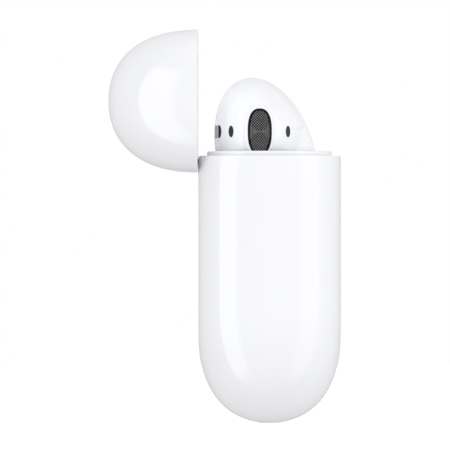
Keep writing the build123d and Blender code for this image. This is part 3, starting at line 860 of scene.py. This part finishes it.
def rim_relief():
    """What the lid's rear rim loses so that it clears the body as it swings."""
    middle = np.tile([0, 0, LID_RIM], (RELIEF_POINTS, 1))
    outline = cast(middle, compass(RELIEF_POINTS, 2.0), LEVEL_REACH, pebble_field(-RELIEF_GAP))
    back = outline[outline[:, 1] > PIVOT[0] - 0.6]
    back = back[np.argsort(back[:, 0])]
    rings = []
    for x in np.linspace(back[0, 0], back[-1, 0], 120):
        reach = np.interp(x, back[:, 0], back[:, 1]) - PIVOT[0]
        radius = math.hypot(max(reach, 0), LID_RIM - PIVOT[1]) if reach > 0 else LID_RIM - PIVOT[1]
        rings.append(stand(superellipse(radius, radius, 64, 2.0), PIVOT, x))
    return lofted(rings)


def make_lid():
    """The lid shell, drawn shut and swung open."""
    lid = shell_mesh(LID_WALL, LID_RIM, LID_FAN, False, 10, 110)
    piece("case_lid", carved(lid, [rim_relief()]), "lid", "case_white", ["lid_shell"], SWING)


def make_lid_liner():
    """The moulded insert inside the lid, hollowed round the tops of both earbuds."""
    levels = [(LINER_RIM + rise, inset) for rise, inset in LINER_EDGE] + [(LID_FAN, 0.0)]
    rings, pole = shell_rings(LID_WALL + LINER_GAP, levels, LID_FAN, 60, False)
    plug = lofted(rings, last=pole)
    bud = bud_mesh(160, 50, 50, grow=BUD_CLEARANCE)
    twin = bud.copy()
    twin.transform(Matrix.Diagonal((-1, 1, 1, 1)))
    twin.flip_normals()
    hollow = carved(plug, [bud, twin, box_mesh(*LEAF_GAP), rim_relief()])
    piece("lid_insert", hollow, "lid", "tray_white", ["lid_liner", "lid_magnets"], SWING)


make_body()
make_lid()
make_lid_liner()


# ---------------------------------------------------------------- floor and light
# Soft light that fills the shapes, and the studio that the gloss reflects
FLOOR_GLOW = 0.4
FILL_TOP, FILL_SIDE, FILL_BELOW, FILL_LOW = 1.0, 0.92, 1.05, 0.62
FILL_TINT = 1.01
REFLECT_BEHIND, REFLECT_FRONT = 0.68, 0.18
LEFT_BOX, RIGHT_BOX, TOP_BOX = 1.5, 0.7, 0.5
# Angle windows in degrees: start, its softness, end, its softness
BOX_RISE = (-62, 12, 42, 10)
LEFT_SPAN, RIGHT_SPAN, FRONT_SPAN = (54, 7, 95, 1.2), (-92, 4, -50, 8), (-95, 8, 95, 8)
TOP_FROM = (60, 15)
MIDDLE = (0, 0, 0.027)
SOFTBOXES = {                   # azimuth (0 is -X, 90 is +Y), elevation and power
    "front_light": (10, -10, 1.6),
    "side_light": (-85, 12, 1.0),
    "rear_light": (175, 40, 0.4),
}
SOFTBOX_DISTANCE, SOFTBOX_SIZE = 0.8, (0.8, 0.8)
BOUNCE = (-0.009, 0.0103, 0.048)
BOUNCE_SIZE, BOUNCE_POWER = (0.022, 0.012), 4.2e-4


def math_node(tree, operation, *values):
    """A math node fed by numbers or by other nodes' outputs."""
    node = add(tree, "ShaderNodeMath", operation=operation)
    for socket, value in zip(node.inputs, values):
        if isinstance(value, (int, float)):
            socket.default_value = value
        else:
            tree.links.new(value, socket)
    return node.outputs[0]


def edge(tree, value, at, soft):
    """0 below an angle and 1 above it, in degrees, with a soft step between."""
    node = add(tree, "ShaderNodeMapRange", interpolation_type="SMOOTHSTEP")
    node.inputs["From Min"].default_value = at - soft
    node.inputs["From Max"].default_value = at + soft
    tree.links.new(value, node.inputs["Value"])
    return node.outputs["Result"]


def window(tree, value, low, low_soft, high, high_soft):
    """1 between two angles and 0 outside them."""
    above = edge(tree, value, low, low_soft)
    below = math_node(tree, "SUBTRACT", 1.0, edge(tree, value, high, high_soft))
    return math_node(tree, "MULTIPLY", above, below)


def stage_floor():
    """A round pale floor, left out of reflections so that the softboxes reach below it."""
    bpy.ops.mesh.primitive_circle_add(vertices=128, radius=0.6, fill_type="NGON", location=(0, 0, 0))
    floor = bpy.context.object
    floor.name = "floor"
    mat, tree, bsdf = graph("floor")
    bsdf.inputs["Roughness"].default_value = 0.9
    bsdf.inputs["Specular IOR Level"].default_value = 0.0
    bsdf.inputs["Emission Color"].default_value = (1, 1, 1, 1)
    bsdf.inputs["Emission Strength"].default_value = FLOOR_GLOW
    shade = tint(tree, noise(tree, 40), (0.93, 0.93, 0.935), (0.95, 0.95, 0.955))
    tree.links.new(shade, bsdf.inputs["Base Color"])
    floor.data.materials.append(mat)
    floor.visible_glossy = False
    floor.visible_diffuse = False


def softbox(name, location, target, size, power):
    """An area light that faces a target, hidden from the camera and from reflections."""
    data = bpy.data.lights.new(name, "AREA")
    data.shape = "RECTANGLE"
    data.size, data.size_y = size
    data.energy = power
    obj = bpy.data.objects.new(name, data)
    bpy.context.collection.objects.link(obj)
    obj.location = location
    obj.rotation_euler = (Vector(location) - Vector(target)).to_track_quat("Z", "Y").to_euler()
    obj.visible_camera = False
    obj.visible_glossy = False


def round_the_case(azimuth, elevation, distance):
    """The point this way from the case's middle."""
    a, e = math.radians(azimuth), math.radians(elevation)
    return (-distance * math.cos(a) * math.cos(e), distance * math.sin(a) * math.cos(e),
            MIDDLE[2] + distance * math.sin(e))


stage_floor()
for name, (azimuth, elevation, power) in SOFTBOXES.items():
    place = round_the_case(azimuth, elevation, SOFTBOX_DISTANCE)
    softbox(name, place, MIDDLE, SOFTBOX_SIZE, power)
softbox("lid_bounce", BOUNCE, (BOUNCE[0], 0, BOUNCE[2]), BOUNCE_SIZE, BOUNCE_POWER)


def studio_world():
    """White to the camera, softboxes to the gloss, and a soft fill from all round to the rest."""
    world = bpy.data.worlds.new("world")
    bpy.context.scene.world = world
    world.use_nodes = True
    tree = world.node_tree
    coords = add(tree, "ShaderNodeTexCoord")
    parts = add(tree, "ShaderNodeSeparateXYZ")
    tree.links.new(coords.outputs["Generated"], parts.inputs[0])
    x, y, z = parts.outputs
    azimuth = math_node(tree, "ARCTAN2", y, math_node(tree, "MULTIPLY", x, -1.0))
    azimuth = math_node(tree, "DEGREES", azimuth)
    rise = math_node(tree, "DEGREES", math_node(tree, "ARCSINE", z))
    band = window(tree, rise, *BOX_RISE)
    left = math_node(tree, "MULTIPLY", window(tree, azimuth, *LEFT_SPAN), band)
    right = math_node(tree, "MULTIPLY", window(tree, azimuth, *RIGHT_SPAN), band)
    front = window(tree, azimuth, *FRONT_SPAN)
    top = edge(tree, rise, *TOP_FROM)
    seen = math_node(tree, "ADD", REFLECT_BEHIND, math_node(tree, "MULTIPLY", front, REFLECT_FRONT))
    seen = math_node(tree, "ADD", seen, math_node(tree, "MULTIPLY", left, LEFT_BOX))
    seen = math_node(tree, "ADD", seen, math_node(tree, "MULTIPLY", right, RIGHT_BOX))
    seen = math_node(tree, "ADD", seen, math_node(tree, "MULTIPLY", top, TOP_BOX))
    fill = add(tree, "ShaderNodeValToRGB")
    tree.links.new(math_node(tree, "MULTIPLY_ADD", z, 0.5, 0.5), fill.inputs["Fac"])
    for at, strength in ((0, FILL_LOW), (1, FILL_TOP), (0.5, FILL_SIDE), (0.22, FILL_BELOW)):
        stops = fill.color_ramp.elements
        stop = stops[at] if at in (0, 1) else stops.new(at)
        stop.color = (strength, strength, strength * FILL_TINT, 1)
    path = add(tree, "ShaderNodeLightPath")
    kinds = []
    for strength in (None, seen, 1.0):
        kind = add(tree, "ShaderNodeBackground")
        if strength is None:
            tree.links.new(fill.outputs["Color"], kind.inputs["Color"])
        else:
            kind.inputs["Color"].default_value = (1, 1, 1, 1)
        if strength is seen:
            tree.links.new(seen, kind.inputs["Strength"])
        kinds.append(kind.outputs[0])
    mixed = kinds[0]
    for test, kind in (("Is Glossy Ray", kinds[1]), ("Is Camera Ray", kinds[2])):
        mix = add(tree, "ShaderNodeMixShader")
        tree.links.new(path.outputs[test], mix.inputs[0])
        tree.links.new(mixed, mix.inputs[1])
        tree.links.new(kind, mix.inputs[2])
        mixed = mix.outputs[0]
    tree.links.new(mixed, tree.nodes["World Output"].inputs["Surface"])


studio_world()
